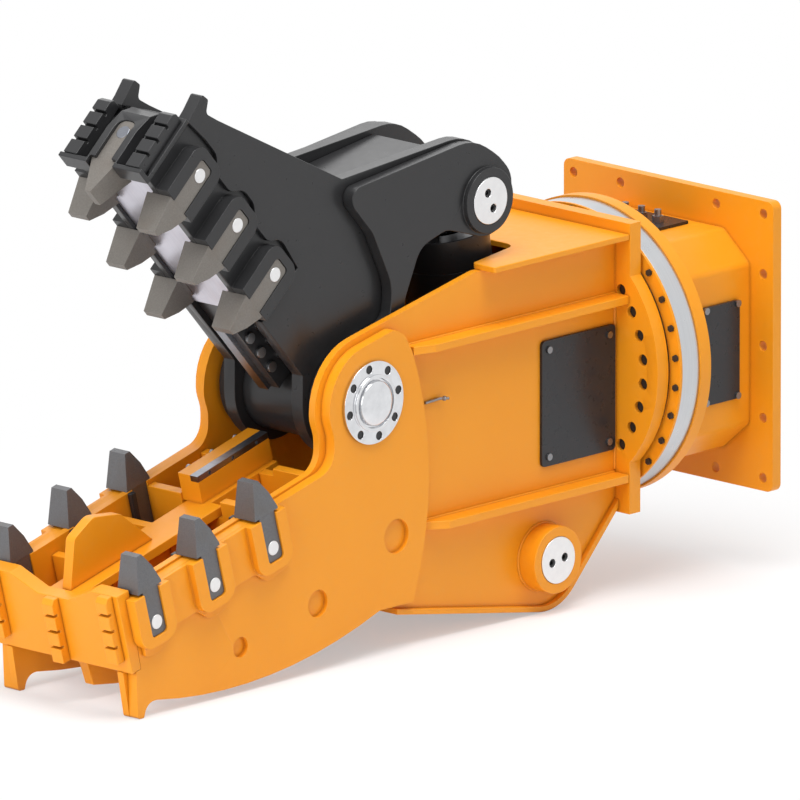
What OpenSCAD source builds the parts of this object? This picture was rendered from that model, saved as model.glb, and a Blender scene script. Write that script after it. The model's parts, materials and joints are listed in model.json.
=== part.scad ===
// Rotating concrete crusher for an excavator, in millimetres.
// X points out of the rear mounting face, the jaws point to -X, +Z is up.
// The origin is the centre of the mounting plate's rear face.

/* [Mounting plate] */
// Width of the mounting plate
plate_w = 722; // [700:1:800]
// Height of the mounting plate
plate_h = 750; // [730:1:820]
// Thickness of the mounting plate
plate_t = 30; // [25:1:40]
// Diameter of the clearance holes for M24 bolts
plate_hole_d = 26; // [22:1:30]
// Distance of the outer bolt columns from the plate's side edges
bolt_edge_y = 34; // [30:0.5:38]
// Spacing across the inner bolt columns of the top and bottom rows
bolt_inner_y = 330; // [300:1:360]
// Distance of the top and bottom bolt rows from the plate's edges
bolt_edge_z = 33.5; // [30:0.5:38]
// Spacing between the upper and lower holes of the side columns
bolt_side_z = 372; // [340:1:400]

/* [Bracket] */
// Length of the welded bracket box
bracket_len = 250; // [235:1:280]
// Height of the bracket box
bracket_h = 568; // [556:1:580]
// Width of the bracket box
bracket_w = 564; // [552:1:576]
// Length of the four bevels of the box along Y
bracket_bevel_y = 90; // [80:1:100]
// Length of the four bevels of the box along Z
bracket_bevel_z = 77; // [70:1:90]
// Wall of the bracket box
bracket_wall = 20; // [15:1:22]
// Width of the side covers
bracket_cover_w = 132; // [128:1:140]
// Height of the side covers
bracket_cover_h = 254; // [240:1:264]
// Length of the opening under the bracket's top cover
port_len = 150; // [140:1:156]
// Width of the opening under the bracket's top cover
port_w = 166; // [150:1:176]
// Thickness of the round disk
disk_t = 37.5; // [30:0.5:42]

/* [Slewing ring] */
// Outer radius of the slewing ring
race_r = 377; // [375:1:379]
// Width of the outer race
race_w = 61.5; // [58:0.5:70]
// Thickness of the bolted ring on the outer race
clamp_t = 8; // [6:1:10]
// Diameter of the balls
ball_d = 36; // [32:1:38]
// Number of balls
ball_n = 40; // [36:1:44]
// Teeth of the inner ring gear
ring_teeth = 62; // [60:1:62]
// Teeth of the drive pinion
pinion_teeth = 14; // [13:1:15]
// Number of bolts through the outer race
ring_bolt_n = 30; // [24:2:36]

/* [Body] */
// Gap between the outer race's bolted ring and the body flange
race_gap = 13; // [12:1:16]
// Thickness of the body flange
flange_t = 39.5; // [34:0.5:44]
// Half width of the flange's square corners
flange_half_w = 252; // [250:1:260]
// Number of flange bolts
flange_bolt_n = 30; // [24:1:32]
// Step from the flange's upper edge down to the top of the side plates
body_step = 42; // [38:1:50]
// Clear width between the two side plates
body_inner_w = 362; // [361:1:366]
// Thickness of each side plate
side_t = 20; // [18:1:22]
// Thickness of the top and bottom plates
skin_t = 15; // [12:1:18]
// Half width of the top plate and the side ribs
skirt_half_w = 250; // [246:1:256]
// Distance from the mounting face to the main pivot
pivot_back = 1356; // [1350:1:1362]
// Height of the main pivot above the slewing axis
pivot_up = 76; // [72:1:80]
// Diameter of the main pin
main_pin_d = 160; // [150:1:165]
// Radius of the chrome pin caps
cap_r = 106; // [100:1:110]
// Distance from the mounting face to the cylinder's base pin
base_back = 707; // [702:1:712]
// Depth of the base pin below the slewing axis
base_down = 443; // [438:1:448]
// Diameter of the base pin and the arm pin
link_pin_d = 120; // [110:1:124]

/* [Lower jaw] */
// Thickness of each cheek plate
cheek_t = 30; // [26:1:32]
// Slope of the lower tooth line
lower_slope = 15; // [14.5:0.5:15.5]
// Distance from the main pivot forward to the front lower tooth pin
lower_reach = 799; // [790:1:805]
// Distance from the main pivot down to the front lower tooth pin
lower_drop = 412; // [408:1:416]
// Pitch of the lower teeth
lower_pitch = 216; // [212:1:218]
// Thickness of the lower wear plates
lower_wear_t = 11; // [8:0.5:13]

/* [Upper jaw] */
// Distance between the outer faces of the two jaw plates
jaw_w = 272; // [270:1:276]
// Thickness of each jaw plate
jaw_plate_t = 38; // [34:1:40]
// Thickness of the arm plates
arm_t = 35; // [32:1:36]
// Slope of the upper tooth line when the jaw is fully open
upper_slope = 48; // [47.5:0.5:48.5]
// Distance from the main pivot forward to the front upper tooth pin
upper_reach = 540; // [535:1:545]
// Height of the front upper tooth pin above the main pivot
upper_rise = 661; // [657:1:665]
// Pitch of the upper teeth
upper_pitch = 201; // [198:1:203]
// Depth of the pockets for the upper wear plates
pocket_depth = 18; // [14:1:22]
// Distance from the main pivot back to the arm pin
arm_back = 477; // [473:1:481]
// Height of the arm pin above the main pivot
arm_up = 425; // [421:1:429]

/* [Teeth] */
// Width of a tooth's shank
shank_w = 54; // [50:1:56]
// Width of a tooth's head at its base
head_w = 87; // [82:1:90]
// Height of a tooth's head above its seat
head_h = 92; // [86:1:96]
// Diameter of a tooth pin
tooth_pin_d = 37; // [32:1:38]

/* [Cylinder] */
// Outside diameter of the cylinder barrel
barrel_d = 230; // [222:1:232]
// Bore of the cylinder barrel
barrel_bore = 190; // [184:1:194]
// Diameter of the piston rod
rod_d = 110; // [100:1:114]
// Distance from the base pin to the top of the gland
barrel_len = 855; // [845:1:858]

/* [Fits] */
// Radial running clearance of pins and shafts
run_gap = 0.05; // [0.02:0.01:0.09]
// Gap between faces that pass each other
side_gap = 0.3; // [0.2:0.05:0.6]
// Radial clearance of the piston and rod, which lets the straight cylinder follow the jaw
slide_gap = 7.5; // [7:0.1:8]

/* [Hidden] */
$fn = 72;

// Stations along X, from the mounting face forward
plate_front_x = -plate_t;
disk_rear_x = plate_front_x - bracket_len;
disk_front_x = disk_rear_x - disk_t;
race_front_x = disk_front_x - race_w;
clamp_front_x = race_front_x - clamp_t;
flange_rear_x = clamp_front_x - race_gap;
flange_front_x = flange_rear_x - flange_t;

// Pivots in the XZ plane
pivot = [-pivot_back, pivot_up];
base_pin_at = [-base_back, -base_down];
arm_pin_at = pivot + [arm_back, arm_up];

// Sizes that go with the slewing ring
disk_r = race_r + 5;
ball_circle_r = race_r - 42;
ring_bolt_r = race_r - 13;
flange_r = race_r - 29;
flange_bolt_r = race_r - 79;
flange_half_h = race_r - 2;
body_top = flange_half_h - body_step;
// The gear's pitch circle keeps the same wall to the outside of the ring
gear_module = 2 * (race_r - 129) / ring_teeth;

// Layers across Y, from the middle outwards
side_in = body_inner_w / 2;
side_out = side_in + side_t;
cheek_out = side_out + cheek_t;
lower_wear_out = cheek_out + lower_wear_t;
jaw_out = jaw_w / 2;
jaw_in = jaw_out - jaw_plate_t;
pocket_floor = jaw_out - pocket_depth;
arm_out = jaw_out + arm_t;

orange = "#F5A032";
black = "#444444";
steel = "#8C8A86";
bright = "#D8DADC";

// Small helpers for outlines

function unit(v) = v / norm(v);
function turn(p, a) = [p[0] * cos(a) - p[1] * sin(a), p[0] * sin(a) + p[1] * cos(a)];
function arc(c, r, a0, a1, n = 10) =
  [for (i = [0 : n]) let (a = a0 + (a1 - a0) * i / n) c + r * [cos(a), sin(a)]];

// One corner of an outline, rounded to its third value
function fillet(a, p, b, r) =
  r <= 0 ? [p] :
  let (
    u = unit(a - p),
    v = unit(b - p),
    half = acos(u * v) / 2,
    c = p + unit(u + v) * r / sin(half),
    from = p + u * r / tan(half) - c,
    to = p + v * r / tan(half) - c,
    start = atan2(from[1], from[0]),
    sweep = atan2(from[0] * to[1] - from[1] * to[0], from * to),
    n = max(2, ceil(abs(sweep) / 11)))
  [for (i = [0 : n]) c + turn(from, sweep * i / n)];

// An outline from corners given as [x, z] or [x, z, radius]
function rounded(path) =
  let (n = len(path), flat = [for (p = path) [p[0], p[1]]])
  [for (i = [0 : n - 1])
    each fillet(flat[(i + n - 1) % n], flat[i], flat[(i + 1) % n], len(path[i]) > 2 ? path[i][2] : 0)];

// A point of the lower jaw, from its front tooth pin: x runs back along the tooth line, z away from it
function low(x, z) = pivot + [-lower_reach, -lower_drop] + turn([x, z], lower_slope);
// A point of the upper jaw, from its front tooth pin: z is negative towards the mouth
function up(x, z) = pivot + [-upper_reach, upper_rise] + turn([x, z], -upper_slope);
function low_r(x, z, r) = let (p = low(x, z)) [p[0], p[1], r];
function up_r(x, z, r) = let (p = up(x, z)) [p[0], p[1], r];
function at_pivot(x, z, r = 0) = [pivot[0] + x, pivot[1] + z, r];

// Extrudes an XZ outline from y0 to y1
module slab(y0, y1) {
  translate([0, y1, 0])
    rotate([90, 0, 0])
      linear_extrude(y1 - y0) children();
}

// Extrudes a YZ outline from x0 to x1
module wafer(x0, x1) {
  translate([x0, 0, 0])
    rotate([90, 0, 90])
      linear_extrude(x1 - x0) children();
}

// A round bar along Y at a point of the XZ plane
module bar_y(at, r, y0, y1) {
  translate([at[0], y1, at[1]])
    rotate([90, 0, 0])
      cylinder(h = y1 - y0, r = r);
}

// A round bar along X at a point of the YZ plane
module bar_x(at, r, x0, x1) {
  translate([x0, at[0], at[1]])
    rotate([0, 90, 0])
      cylinder(h = x1 - x0, r = r);
}

module both_sides() {
  children();
  mirror([0, 1, 0]) children();
}

module low_place(x = 0, z = 0) {
  p = low(x, z);
  translate([p[0], 0, p[1]]) rotate([0, -lower_slope, 0]) children();
}

module up_place(x = 0, z = 0) {
  p = up(x, z);
  translate([p[0], 0, p[1]]) rotate([0, upper_slope, 0]) children();
}

// Mounting plate and bracket

plate_corner_r = 20;
bolt_outer_y = plate_w - 2 * bolt_edge_y;
bolt_row_z = plate_h - 2 * bolt_edge_z;

module plate_outline() {
  polygon(rounded([
    [-plate_w / 2, -plate_h / 2, plate_corner_r], [plate_w / 2, -plate_h / 2, plate_corner_r],
    [plate_w / 2, plate_h / 2, plate_corner_r], [-plate_w / 2, plate_h / 2, plate_corner_r]]));
}

function plate_holes() = concat(
  [for (y = [-1, 1], z = [-1, 1]) [y * bolt_outer_y, z * bolt_row_z] / 2],
  [for (y = [-1, 1], z = [-1, 1]) [y * bolt_inner_y, z * bolt_row_z] / 2],
  [for (y = [-1, 1], z = [-1, 0, 1]) [y * bolt_outer_y, z * bolt_side_z] / 2]);

module mounting_plate() {
  color(orange) difference() {
    wafer(plate_front_x, 0) plate_outline();
    for (p = plate_holes()) bar_x(p, plate_hole_d / 2, plate_front_x - 1, 1);
  }
}

function octagon(w, h, by, bz) = [
  [-w, -h + bz], [-w + by, -h], [w - by, -h], [w, -h + bz],
  [w, h - bz], [w - by, h], [-w + by, h], [-w, h - bz]];

bracket_edge_r = 25;
cover_x = plate_front_x - bracket_len / 2 + 13;
cover_z = -5;
cover_t = 8;
cover_lap = 16;
window_w = bracket_cover_w - 2 * cover_lap;
window_h = bracket_cover_h - 2 * cover_lap;
port_x = plate_front_x - bracket_len / 2 + 2;

module bracket_box() {
  outer = octagon(bracket_w / 2, bracket_h / 2, bracket_bevel_y, bracket_bevel_z);
  inner = octagon(bracket_w / 2 - bracket_wall, bracket_h / 2 - bracket_wall,
    bracket_bevel_y - bracket_wall / 2, bracket_bevel_z - bracket_wall / 2);
  soft = [for (p = outer) [p[0], p[1], bracket_edge_r]];
  color(orange) difference() {
    wafer(disk_rear_x, plate_front_x) polygon(rounded(soft));
    wafer(disk_rear_x - 1, plate_front_x + 1) polygon(inner);
    translate([cover_x, 0, cover_z]) cube([window_w, bracket_w + 2, window_h], center = true);
    translate([port_x, 0, bracket_h / 2]) cube([port_len, port_w, 4 * bracket_wall], center = true);
    bracket_screw_bars(bracket_w / 2 - bracket_wall / 2, bracket_w / 2 + 1);
  }
}

screw_d = 10;
screw_inset = 8;

module bracket_screw_bars(y0, y1) {
  dx = bracket_cover_w / 2 - screw_inset;
  dz = bracket_cover_h / 2 - screw_inset;
  both_sides()
    for (x = [-dx, dx], z = [-dz, dz]) bar_y([cover_x + x, cover_z + z], screw_d / 2, y0, y1);
}

module cover_sheet(w, h, r, y0) {
  slab(y0, y0 + cover_t)
    polygon(rounded([[-w / 2, -h / 2, r], [w / 2, -h / 2, r], [w / 2, h / 2, r], [-w / 2, h / 2, r]]));
}

module bracket_covers() {
  color(black) difference() {
    both_sides()
      translate([cover_x, 0, cover_z]) cover_sheet(bracket_cover_w, bracket_cover_h, 8, bracket_w / 2);
    bracket_screw_bars(bracket_w / 2 - 1, bracket_w / 2 + cover_t + 1);
  }
  color(black) difference() {
    translate([port_x - port_len / 2 - cover_lap, -port_w / 2 - cover_lap, bracket_h / 2])
      cube([port_len + 2 * cover_lap, port_w + 2 * cover_lap, cover_t]);
    fitting_bars(fitting_r * 0.6, bracket_h / 2 - 1, bracket_h / 2 + cover_t + 1);
  }
}

screw_head_r = 9;
screw_head_h = 5;

module screw(at, y_seat) {
  bar_y(at, screw_d / 2, y_seat - cover_t - bracket_wall / 2, y_seat);
  bar_y(at, screw_head_r, y_seat, y_seat + screw_head_h);
}

module bracket_cover_screws() {
  dx = bracket_cover_w / 2 - screw_inset;
  dz = bracket_cover_h / 2 - screw_inset;
  color(steel) both_sides()
    for (x = [-dx, dx], z = [-dz, dz])
      screw([cover_x + x, cover_z + z], bracket_w / 2 + cover_t);
}

swivel_r = 50;
swivel_wall = 25;
swivel_flange_r = 110;
swivel_flange_t = 15;
swivel_rear_x = disk_rear_x + 90;
shaft_r = 20;
disk_shaft_gap = 4;
ring_bolt_d = 10;
ring_bolt_grip = 30;

// Gear sizes
ring_pitch_r = gear_module * ring_teeth / 2;
pinion_pitch_r = gear_module * pinion_teeth / 2;
gear_centre = ring_pitch_r - pinion_pitch_r;
pinion_at = [0, -gear_centre];
stub = 0.8;
root = 1.25;
pinion_root = 1.1;
backlash = 0.6;
pressure = 20;

module bracket_disk() {
  color(orange) difference() {
    bar_x([0, 0], disk_r, disk_front_x, disk_rear_x);
    bar_x([0, 0], swivel_r + swivel_wall, disk_front_x - 1, disk_rear_x + 1);
    bar_x(pinion_at, shaft_r + disk_shaft_gap, disk_front_x - 1, disk_rear_x + 1);
    ring_bolt_bars(ring_bolt_d / 2, disk_front_x - 1, disk_front_x + ring_bolt_grip);
  }
}

module ring_bolt_bars(r, x0, x1) {
  for (i = [0 : ring_bolt_n - 1]) {
    a = 360 * (i + 0.5) / ring_bolt_n;
    bar_x(ring_bolt_r * [cos(a), sin(a)], r, x0, x1);
  }
}

motor_r = 55;
motor_flange_r = 72;
motor_flange_t = 14;
motor_len = 170;
shaft_depth = 45;

module slew_motor() {
  color(black) difference() {
    union() {
      bar_x(pinion_at, motor_flange_r, disk_rear_x, disk_rear_x + motor_flange_t);
      bar_x(pinion_at, motor_r, disk_rear_x, disk_rear_x + motor_len);
    }
    bar_x(pinion_at, shaft_r + run_gap, disk_rear_x - 1, disk_rear_x + shaft_depth);
  }
}

fitting_n = 3;
fitting_pitch = 56;
fitting_r = 15;
manifold_len = 60;
manifold_h = 70;
fitting_x = port_x + 25;

module fitting_bars(r, z0, z1, sides = 24) {
  for (i = [0 : fitting_n - 1])
    translate([fitting_x, (i - (fitting_n - 1) / 2) * fitting_pitch, z0])
      cylinder(h = z1 - z0, r = r, $fn = sides);
}

// A manifold under the top cover, with hose adapters through it
module bracket_fittings() {
  w = (fitting_n - 1) * fitting_pitch + 2 * fitting_r + 10;
  top = bracket_h / 2;
  color(bright) {
    translate([fitting_x - manifold_len / 2, -w / 2, top - manifold_h]) cube([manifold_len, w, manifold_h]);
    fitting_bars(fitting_r * 0.6, top - 1, top + cover_t + 34);
    fitting_bars(fitting_r, top + cover_t, top + cover_t + 18, 6);
  }
}

module swivel_housing() {
  color(steel) difference() {
    union() {
      bar_x([0, 0], swivel_r + swivel_wall, disk_front_x + 5, swivel_rear_x);
      bar_x([0, 0], swivel_flange_r, disk_rear_x, disk_rear_x + swivel_flange_t);
    }
    bar_x([0, 0], swivel_r + run_gap, disk_front_x, swivel_rear_x - swivel_wall / 2);
  }
}

// Slewing ring

race_clearance = 2;
groove_gap = 0.1;
ball_x = disk_front_x - race_w / 2;

module ball_groove() {
  translate([ball_x, 0, 0])
    rotate([0, 90, 0])
      rotate_extrude($fn = 144)
        translate([ball_circle_r, 0]) circle(r = ball_d / 2 + groove_gap, $fn = 32);
}

module outer_race() {
  color(bright) difference() {
    bar_x([0, 0], race_r, race_front_x, disk_front_x);
    bar_x([0, 0], ball_circle_r + race_clearance, race_front_x - 1, disk_front_x + 1);
    ball_groove();
    ring_bolt_bars(ring_bolt_d / 2 + 0.5, race_front_x - 1, disk_front_x + 1);
  }
}

module bolt_ring() {
  color(orange) difference() {
    bar_x([0, 0], race_r, clamp_front_x, race_front_x);
    bar_x([0, 0], ball_circle_r + 2 * race_clearance, clamp_front_x - 1, race_front_x + 1);
    ring_bolt_bars(ring_bolt_d / 2 + 0.5, clamp_front_x - 1, race_front_x + 1);
  }
}

ring_head_r = 9;
ring_head_h = 7;

module ring_bolts() {
  color(steel) {
    ring_bolt_bars(ring_bolt_d / 2, clamp_front_x - 0.1, disk_front_x + ring_bolt_grip - 1);
    for (i = [0 : ring_bolt_n - 1]) {
      a = 360 * (i + 0.5) / ring_bolt_n;
      translate([clamp_front_x - ring_head_h, ring_bolt_r * cos(a), ring_bolt_r * sin(a)])
        rotate([0, 90, 0])
          cylinder(h = ring_head_h, r = ring_head_r, $fn = 6);
    }
  }
}

// Involute tooth of a gear: half angle of the tooth at radius r
function roll(r, base) = r <= base ? 0 : let (a = acos(base / r)) tan(a) * 180 / PI - a;
function half_angle(r, pitch, base, thick) =
  thick / 2 / pitch * 180 / PI + roll(pitch, base) - roll(r, base);

// The outline of a gear with one tooth at angle a0
function gear(teeth, tip, foot, thick, a0, steps = 3) =
  let (pitch = gear_module * teeth / 2, base = pitch * cos(pressure))
  [for (t = [0 : teeth - 1]) let (a = a0 + 360 * t / teeth)
    each concat(
      [for (i = [0 : steps]) let (r = foot + (tip - foot) * i / steps,
        h = half_angle(r, pitch, base, thick)) r * [cos(a - h), sin(a - h)]],
      [for (i = [steps : -1 : 0]) let (r = foot + (tip - foot) * i / steps,
        h = half_angle(r, pitch, base, thick)) r * [cos(a + h), sin(a + h)]])];

tooth_thick = PI * gear_module / 2;

module inner_race() {
  color(steel) difference() {
    bar_x([0, 0], ball_circle_r - race_clearance, flange_rear_x, disk_front_x - 4.5);
    wafer(flange_rear_x - 1, disk_front_x)
      polygon(gear(ring_teeth, ring_pitch_r + root * gear_module,
        ring_pitch_r - stub * gear_module, tooth_thick + backlash / 2, -90));
    ball_groove();
    flange_bolt_bars(flange_thread_d / 2, flange_rear_x - 1, flange_rear_x + flange_bolt_reach);
  }
}

module pinion() {
  color(steel) {
    translate([0, pinion_at[0], pinion_at[1]])
      wafer(flange_rear_x + 16, disk_front_x - 8)
        polygon(gear(pinion_teeth, pinion_pitch_r + stub * gear_module,
          pinion_pitch_r - pinion_root * gear_module, tooth_thick - backlash / 2, -90));
    bar_x(pinion_at, shaft_r, disk_front_x - 9, disk_rear_x + shaft_depth - 5);
  }
}

module slew_balls() {
  color(bright)
    for (i = [0 : ball_n - 1]) {
      a = 360 * i / ball_n;
      translate([ball_x, ball_circle_r * cos(a), ball_circle_r * sin(a)]) sphere(d = ball_d, $fn = 32);
    }
}

rotor_flange_r = 105;
rotor_flange_t = 16;

module swivel_rotor() {
  color(steel) {
    bar_x([0, 0], swivel_r, flange_front_x - 1, swivel_rear_x - swivel_wall / 2 - 3);
    bar_x([0, 0], rotor_flange_r, flange_front_x - rotor_flange_t, flange_front_x);
  }
}

// Body flange and its bolts

flange_thread_d = 16;
flange_head_d = 28;
flange_sink = 26;
flange_head_h = 16;
flange_bolt_reach = 40;

module flange_bolt_bars(r, x0, x1) {
  for (i = [0 : flange_bolt_n - 1]) {
    a = 180 + 180 / flange_bolt_n + 360 * i / flange_bolt_n;
    bar_x(flange_bolt_r * [cos(a), sin(a)], r, x0, x1);
  }
}

module rear_flange() {
  color(orange) difference() {
    union() {
      bar_x([0, 0], flange_r, flange_front_x, flange_rear_x);
      translate([flange_front_x, -flange_half_w, -flange_half_h])
        cube([flange_t, 2 * flange_half_w, 2 * flange_half_h]);
    }
    bar_x([0, 0], swivel_r, flange_front_x - 1, flange_rear_x + 1);
    flange_bolt_bars(flange_thread_d / 2, flange_front_x - 1, flange_rear_x + 1);
    flange_bolt_bars(flange_head_d / 2 + 1, flange_front_x - 1, flange_front_x + flange_sink);
  }
}

module flange_bolts() {
  color(steel) {
    flange_bolt_bars(flange_thread_d / 2, flange_front_x + flange_sink - 0.1,
      flange_rear_x + flange_bolt_reach - 2);
    flange_bolt_bars(flange_head_d / 2, flange_front_x + flange_sink - flange_head_h,
      flange_front_x + flange_sink);
  }
}

// Outlines of the body and the lower jaw

edge_h = 92;
cheek_drop = 6;
tooth_under = 140;
front_x = -92;
front_rear_x = -52;
front_foot = -108;
base_skin_r = 125;
tail_up = 47;
nose_down = 9.7;

// The underside of the body: straight from the front, round the base pin, then up to the flange
function belly(r) =
  let (
    round_part = arc(base_pin_at, r, -90 - nose_down, -90 + tail_up, 12),
    first = round_part[0],
    last = round_part[12],
    nose_x = -1249,
    nose = [nose_x, first[1] + (first[0] - nose_x) * tan(nose_down)],
    tail = [flange_front_x, last[1] + (flange_front_x - last[0]) * tan(tail_up)])
  concat([nose], round_part, [tail]);

// The arc through three points, from the first to the last
function arc3(a, b, c, n) =
  let (
    d = 2 * (a[0] * (b[1] - c[1]) + b[0] * (c[1] - a[1]) + c[0] * (a[1] - b[1])),
    x = ((a * a) * (b[1] - c[1]) + (b * b) * (c[1] - a[1]) + (c * c) * (a[1] - b[1])) / d,
    z = ((a * a) * (c[0] - b[0]) + (b * b) * (a[0] - c[0]) + (c * c) * (b[0] - a[0])) / d,
    m = [x, z],
    from = a - m,
    to = c - m,
    sweep = atan2(from[0] * to[1] - from[1] * to[0], from * to))
  [for (i = [0 : n]) m + turn(from, sweep * i / n)];

// The underside of the lower jaw behind the hook
jaw_belly = [at_pivot(-774, -621), at_pivot(-432, -638), at_pivot(30, -540)];
function jaw_bottom() =
  arc3([jaw_belly[2][0], jaw_belly[2][1]], [jaw_belly[1][0], jaw_belly[1][1]],
    [jaw_belly[0][0], jaw_belly[0][1]], 10);
floor_z = base_pin_at[1] - base_skin_r - skin_t;
// The hook at the jaw's front, from its heel round its tip
function hook(front) =
  let (heel = jaw_bottom()[10])
  rounded([[heel[0] - 2, heel[1]], [heel[0] - 34, heel[1] - 2, 34],
    [heel[0] - 44, floor_z, 4], [heel[0] - 66, floor_z, 8], [front[0], front[1]]]);
// The throat and boss of the jaw, shrunk inwards by a margin
function throat(m, drop) =
  let (x = pivot[0] - 159 + m, e = edge_h - drop,
    corner = low(0, e), z = corner[1] + (x - corner[0]) * tan(lower_slope))
  [[x - 16, pivot_up - 26, 80], [x, pivot_up - 66, 80], [x, z, 60]];

function side_points() = concat(
  rounded([[flange_front_x, body_top], [-950, body_top, 40],
    at_pivot(-175, 134, 172), each throat(0, 0), low(front_rear_x + 4, edge_h),
    low(front_rear_x - 8, front_foot)]),
  reverse(hook(low(front_x - 3, front_foot))),
  reverse(jaw_bottom()),
  belly(base_skin_r));

function reverse(v) = [for (i = [len(v) - 1 : -1 : 0]) v[i]];

module side_plates() {
  color(orange) both_sides() difference() {
    slab(side_in, side_out) polygon(side_points());
    bar_y(pivot, main_pin_d / 2, side_in - 1, side_out + 1);
    bar_y(base_pin_at, boss_r, side_in - 1, side_out + 1);
    for (t = [0 : 2]) low_place(lower_pitch * t)
      translate([-shank_w / 2 - 0.5, side_in - 1, shank_foot]) cube([shank_w + 1, side_t + 2, tooth_under]);
    slab(side_in - 1, side_out + 1) polygon(window_outline(cover_lap));
  }
}

// The body cover lies between the ribs on the side plate
function window_outline(m) =
  rounded([[cover_front_x + m, cover_low_z + m, 12], [cover_back_x - m, cover_low_z + m, 12],
    [cover_back_x - m, cover_high_z - m, 12], [cover_front_x + m, cover_high_z - m, 12]]);
cover_front_x = -714;
cover_back_x = -446;
cover_low_z = -212;
cover_high_z = 112;

module inspection_covers() {
  color(black) difference() {
    both_sides() slab(side_out, side_out + cover_t) polygon(window_outline(0));
    body_screw_bars(screw_d / 2, side_out - 1, side_out + cover_t + 1);
  }
}

module body_screw_bars(r, y0, y1) {
  m = 24;
  both_sides()
    for (x = [cover_front_x + m, cover_back_x - m], z = [cover_low_z + m, cover_high_z - m])
      bar_y([x, z], r, y0, y1);
}

module cover_screws() {
  color(steel) {
    body_screw_bars(screw_d / 2, side_out, side_out + cover_t);
    body_screw_bars(screw_head_r, side_out + cover_t, side_out + cover_t + screw_head_h);
  }
}

top_front_x = -930;
slot_end_x = -719;
slot_front_half = 171;
slot_end_half = 118;

module top_plate() {
  half = [[flange_front_x, 0], [flange_front_x, skirt_half_w], [top_front_x, skirt_half_w, 6],
    [top_front_x, slot_front_half, 18], [slot_end_x, slot_end_half, 40], [slot_end_x, 0]];
  color(orange) translate([0, 0, body_top]) linear_extrude(skin_t) {
    polygon(rounded(half));
    mirror([0, 1]) polygon(rounded(half));
  }
}

module bottom_plate() {
  y = side_out + skin_t;
  color(orange) slab(-y, y)
    polygon(concat(belly(base_skin_r + skin_t), reverse(belly(base_skin_r))));
}

rib_t = 22;
rib_taper = 60;

module side_rib(x_front, z, y_front) {
  translate([0, 0, z - rib_t / 2]) linear_extrude(rib_t)
    polygon([[flange_front_x, side_out], [flange_front_x, skirt_half_w],
      [x_front + rib_taper, skirt_half_w], [x_front, y_front], [x_front, side_out]]);
}

upper_rib_z = 179;
lower_rib_z = -283;

module side_ribs() {
  front = cheek_back(upper_rib_z) + 1;
  color(orange) both_sides() {
    side_rib(front, upper_rib_z, cheek_out);
    side_rib(cheek_back(lower_rib_z) + 6, lower_rib_z, side_out + 8);
  }
}

// The cheek's rear edge bulges backwards
cheek_top = [pivot[0] + 146, pivot[1] + 106];
cheek_mid = [pivot[0] + 206, pivot[1] - 270];
cheek_low = [pivot[0] + 150, pivot[1] - 540];
function cheek_back(z) =
  let (pts = arc3(cheek_low, cheek_mid, cheek_top, 40), hit = [for (p = pts) if (p[1] <= z) p])
  hit[len(hit) - 1][0];

function cheek_points() = concat(
  arc3(cheek_low, cheek_mid, cheek_top, 14),
  rounded([at_pivot(120, 150), at_pivot(85, 172, 40), at_pivot(-159, 117, 150),
    each throat(24, cheek_drop), low(front_rear_x + 4, edge_h - cheek_drop),
    low(front_rear_x - 8, front_foot)]),
  reverse(hook(low(front_rear_x - 26, front_foot))),
  [for (p = reverse(jaw_bottom())) if (p[0] < cheek_low[0] - 100) p]);

cheek_recesses = [[-1267, -284, 44], [-1551, -405, 35], [-1829, -466, 26]];
recess_depth = 12;

module cheek_plates() {
  color(orange) both_sides() difference() {
    slab(side_out, cheek_out) polygon(cheek_points());
    bar_y(pivot, main_pin_d / 2, side_out - 1, cheek_out + 1);
    for (c = cheek_recesses)
      bar_y([c[0], c[1]], c[2], cheek_out - recess_depth, cheek_out + 1);
    for (t = [0 : 2])
      bar_y(low(lower_pitch * t, 0), tooth_pin_d / 2, side_out - 1, cheek_out + 1);
  }
}

// Pins

boss_r = 86;
boss_out = side_out + 57;
cap_t = 9;
cap_bolt_n = 8;

module main_pin() {
  color(steel) bar_y(pivot, main_pin_d / 2, -cheek_out, cheek_out);
}

module cap_bolt_bars(r, y0, y1) {
  both_sides()
    for (i = [0 : cap_bolt_n - 1]) {
      a = 11.5 + 360 * i / cap_bolt_n;
      bar_y(pivot + (cap_r - 17) * [cos(a), sin(a)], r, y0, y1);
    }
}

module pin_caps() {
  color(bright) difference() {
    both_sides() {
      bar_y(pivot, cap_r, cheek_out, cheek_out + cap_t);
      bar_y(pivot, cap_r * 0.68, cheek_out + cap_t, cheek_out + cap_t + 7);
    }
    cap_bolt_bars(11, cheek_out - 1, cheek_out + cap_t + 1);
    both_sides() difference() {
      bar_y(pivot, cap_r * 0.6, cheek_out + cap_t - 3, cheek_out + cap_t + 8);
      bar_y(pivot, cap_r * 0.54, cheek_out + cap_t - 4, cheek_out + cap_t + 9);
    }
  }
}

module cap_bolts() {
  color(black) cap_bolt_bars(10, cheek_out, cheek_out + cap_t - 3);
}

base_boss_in = 95;

module base_pin_bosses() {
  color(orange) both_sides() difference() {
    bar_y(base_pin_at, boss_r, base_boss_in, boss_out);
    bar_y(base_pin_at, link_pin_d / 2, base_boss_in - 1, boss_out + 1);
  }
}

end_screw_r = 11;
end_screw_depth = 14;

// A pin with two sunk screw holes in each end
module link_pin(at, half_len, tilt) {
  difference() {
    bar_y(at, link_pin_d / 2, -half_len, half_len);
    both_sides()
      for (s = [-1, 1])
        bar_y(at + 23 * s * [cos(tilt), sin(tilt)], end_screw_r, half_len - end_screw_depth, half_len + 1);
  }
}

module base_pin() {
  color(bright) link_pin(base_pin_at, boss_out + 2, 10);
}

// Front of the lower jaw

front_top = 106;
front_valley = 66;
front_half_w = cheek_out;

// A point on the front plate's leaning rear face
function plate_rear(z) = low(front_rear_x + 4 - 12 * (front_top - z) / (front_top - front_foot), z);

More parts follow.
